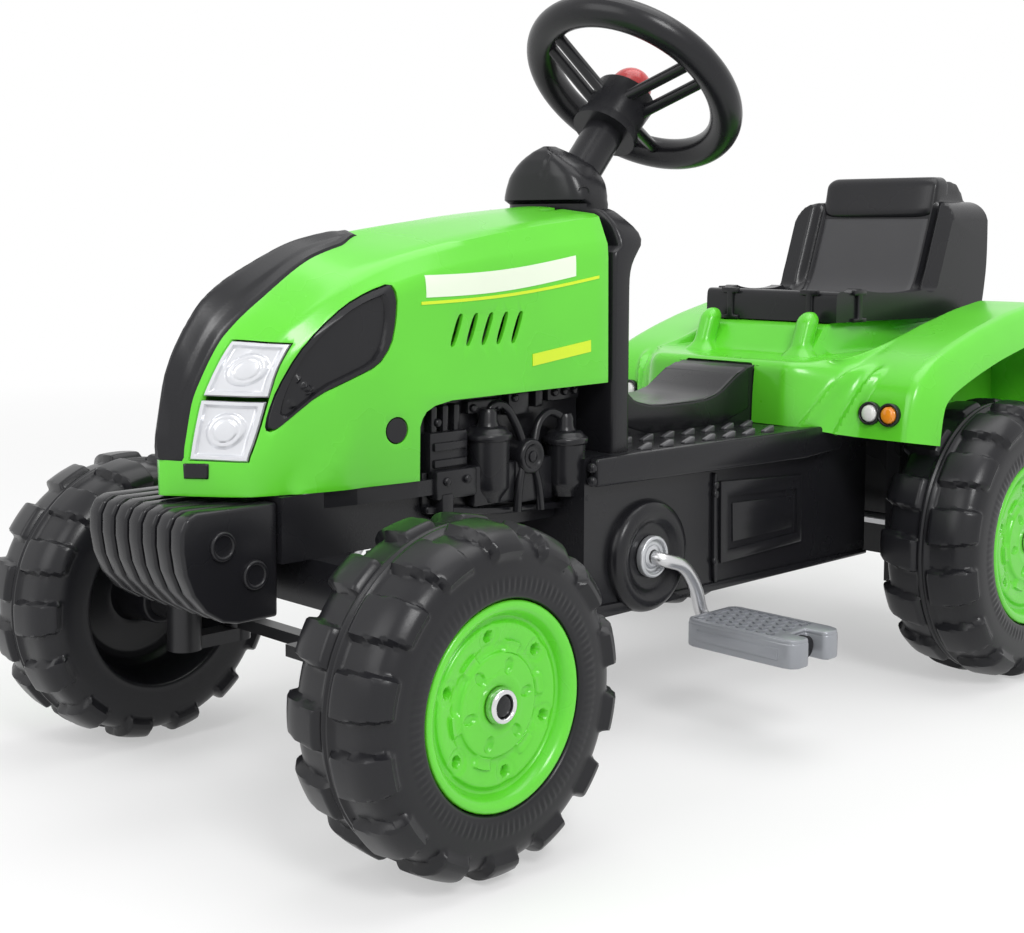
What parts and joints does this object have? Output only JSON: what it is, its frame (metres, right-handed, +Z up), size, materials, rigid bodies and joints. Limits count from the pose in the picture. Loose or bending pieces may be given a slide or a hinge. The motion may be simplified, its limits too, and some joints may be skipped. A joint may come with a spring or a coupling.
{
  "type": "ride-on pedal tractor toy",
  "caption": "Child's ride-on pedal tractor toy with an opening hood, steered front wheels, horn button, pedal crank with chain drive and a bucket seat.",
  "frame": {"origin": "on the floor, under the centre of the overall box", "axes": "+X forward, +Y to the driver's left, +Z up"},
  "size_m": [0.854, 0.412, 0.5303],
  "materials": {
    "green_plastic": "gloss",
    "black_plastic": "satin",
    "tyre_plastic": "matte",
    "grey_plastic": "satin",
    "silver_plastic": "gloss",
    "zinc_steel": "satin",
    "red_plastic": "gloss",
    "white_lens": "gloss",
    "amber_lens": "gloss"
  },
  "bodies": {
    "chassis": {"chassis": "black_plastic", "front_axle_beam": "black_plastic", "dashboard": "black_plastic", "hood_hinge_pin": "zinc_steel", "column_bush_upper": "black_plastic", "column_bush_lower": "black_plastic", "engine_left": "black_plastic", "engine_right": "black_plastic", "front_weight": "black_plastic", "crank_bushes": "black_plastic", "drive_chain": "zinc_steel", "rear_axle_bushes": "black_plastic", "rear_body": "green_plastic", "lamp_bezels": "black_plastic", "lamp_lenses_white": "white_lens", "lamp_lenses_amber": "amber_lens", "seat": "black_plastic", "seat_bolts": "zinc_steel", "tow_hitch": "zinc_steel"},
    "hood": {"hood": "green_plastic", "grille_strip": "black_plastic", "side_intake_left": "black_plastic", "side_intake_right": "black_plastic", "headlight_left": "silver_plastic", "headlight_right": "silver_plastic", "hood_caps": "black_plastic"},
    "steering": {"steering_shaft": "zinc_steel", "column_sleeve": "black_plastic", "steering_wheel": "black_plastic"},
    "horn": {"horn_button": "red_plastic"},
    "knuckle_left": {"knuckle_left": "zinc_steel", "kingpin_nut_left": "zinc_steel", "front_left_cap": "black_plastic"},
    "knuckle_right": {"knuckle_right": "zinc_steel", "kingpin_nut_right": "zinc_steel", "front_right_cap": "black_plastic"},
    "tie_rod": {"tie_rod": "zinc_steel"},
    "front_left_wheel": {"front_left_wheel": "tyre_plastic", "front_left_disc": "green_plastic"},
    "front_right_wheel": {"front_right_wheel": "tyre_plastic", "front_right_disc": "green_plastic"},
    "rear_left_wheel": {"rear_left_wheel": "tyre_plastic", "rear_left_disc": "green_plastic"},
    "rear_axle": {"rear_axle": "zinc_steel", "axle_sprocket": "zinc_steel", "rear_right_wheel": "tyre_plastic", "rear_right_disc": "green_plastic", "rear_right_cap": "black_plastic", "rear_left_cap": "black_plastic"},
    "crank": {"crank": "zinc_steel", "drive_sprocket": "zinc_steel", "crank_caps": "grey_plastic", "pedal_cap_left": "black_plastic", "pedal_cap_right": "black_plastic"},
    "pedal_left": {"pedal_left": "grey_plastic"},
    "pedal_right": {"pedal_right": "grey_plastic"}
  },
  "joints": [
    {"name": "hood_hinge", "type": "hinge", "parent": "chassis", "child": "hood", "pos_m": [0.098, 0, 0.363], "axis": [0, -1, 0], "range_deg": [0, 50]},
    {"name": "steering_turn", "type": "hinge", "parent": "chassis", "child": "steering", "pos_m": [-0.022, 0, 0.468], "axis": [-0.6561, 0, 0.7547], "range_deg": [-40, 40]},
    {"name": "horn_press", "type": "slide", "parent": "steering", "child": "horn", "axis": [0.6561, 0, -0.7547], "range_m": [0, 0.003], "stiffness_N_per_m": 300, "springref_m": -0.003},
    {"name": "knuckle_left_turn", "type": "hinge", "parent": "chassis", "child": "knuckle_left", "pos_m": [0.321, 0.105, 0.1], "axis": [0, 0, 1], "range_deg": [-25, 25]},
    {"name": "knuckle_right_turn", "type": "hinge", "parent": "chassis", "child": "knuckle_right", "pos_m": [0.321, -0.105, 0.1], "axis": [0, 0, 1], "range_deg": [-25, 25]},
    {"name": "tie_rod_turn", "type": "hinge", "parent": "knuckle_left", "child": "tie_rod", "pos_m": [0.276, 0.105, 0.084], "axis": [0, 0, 1], "range_deg": [-25, 25]},
    {"name": "front_left_spin", "type": "hinge", "parent": "knuckle_left", "child": "front_left_wheel", "pos_m": [0.321, 0.167, 0.1], "axis": [0, 1, 0], "continuous": true},
    {"name": "front_right_spin", "type": "hinge", "parent": "knuckle_right", "child": "front_right_wheel", "pos_m": [0.321, -0.167, 0.1], "axis": [0, 1, 0], "continuous": true},
    {"name": "rear_axle_spin", "type": "hinge", "parent": "chassis", "child": "rear_axle", "pos_m": [-0.277, 0, 0.111], "axis": [0, 1, 0], "continuous": true},
    {"name": "rear_left_spin", "type": "hinge", "parent": "chassis", "child": "rear_left_wheel", "pos_m": [-0.277, 0.167, 0.111], "axis": [0, 1, 0], "continuous": true},
    {"name": "crank_spin", "type": "hinge", "parent": "chassis", "child": "crank", "pos_m": [0.056, 0, 0.128], "axis": [0, 1, 0], "continuous": true},
    {"name": "pedal_left_spin", "type": "hinge", "parent": "crank", "child": "pedal_left", "pos_m": [0.011, 0.15, 0.07438], "axis": [0, 1, 0], "continuous": true},
    {"name": "pedal_right_spin", "type": "hinge", "parent": "crank", "child": "pedal_right", "pos_m": [0.101, -0.15, 0.18162], "axis": [0, 1, 0], "continuous": true}
  ],
  "couplings": [
    {"joint": "knuckle_left_turn", "follows": "steering_turn", "ratio": 0.6},
    {"joint": "knuckle_right_turn", "follows": "steering_turn", "ratio": 0.6},
    {"joint": "tie_rod_turn", "follows": "steering_turn", "ratio": -0.6},
    {"joint": "crank_spin", "follows": "rear_axle_spin", "ratio": 1}
  ]
}
